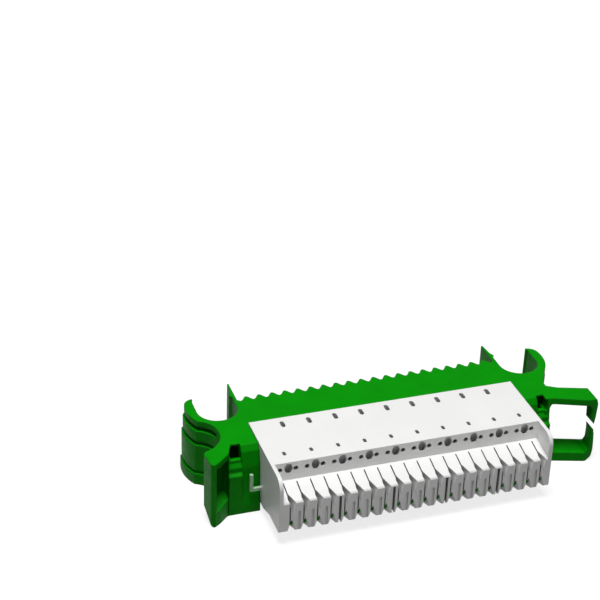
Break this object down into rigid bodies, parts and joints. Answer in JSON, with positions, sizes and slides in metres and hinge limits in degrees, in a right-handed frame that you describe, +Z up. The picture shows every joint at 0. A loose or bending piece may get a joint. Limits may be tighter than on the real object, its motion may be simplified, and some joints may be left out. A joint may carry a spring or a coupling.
{
  "type": "punch down wiring block",
  "caption": "Pale punch-down disconnect block with slotted insertion comb, in a green wire guide with rod clips, cable horn and jumper ring",
  "frame": {"origin": "on the underside, at the middle of the bulkhead behind the block, halfway between the two rod clips", "axes": "+X along the row of slots towards the jumper ring, +Y to the rear where the rods clip in, +Z up through the top face with the holes"},
  "size_m": [0.1201, 0.0514, 0.0214],
  "materials": {
    "guide_plastic": "satin moulding",
    "housing_plastic": "satin moulding",
    "contact_metal": "tinned sheet"
  },
  "bodies": {
    "root": {"wire_guide": "guide_plastic", "contact_housing": "housing_plastic", "insertion_comb": "housing_plastic", "base_plate": "housing_plastic", "jumper_contacts_pair_01": "contact_metal", "line_contacts_pair_01": "contact_metal", "jumper_contacts_pair_02": "contact_metal", "line_contacts_pair_02": "contact_metal", "jumper_contacts_pair_03": "contact_metal", "line_contacts_pair_03": "contact_metal", "jumper_contacts_pair_04": "contact_metal", "line_contacts_pair_04": "contact_metal", "jumper_contacts_pair_05": "contact_metal", "line_contacts_pair_05": "contact_metal", "jumper_contacts_pair_06": "contact_metal", "line_contacts_pair_06": "contact_metal", "jumper_contacts_pair_07": "contact_metal", "line_contacts_pair_07": "contact_metal", "jumper_contacts_pair_08": "contact_metal", "line_contacts_pair_08": "contact_metal", "jumper_contacts_pair_09": "contact_metal", "line_contacts_pair_09": "contact_metal", "jumper_contacts_pair_10": "contact_metal", "line_contacts_pair_10": "contact_metal"}
  },
  "joints": []
}
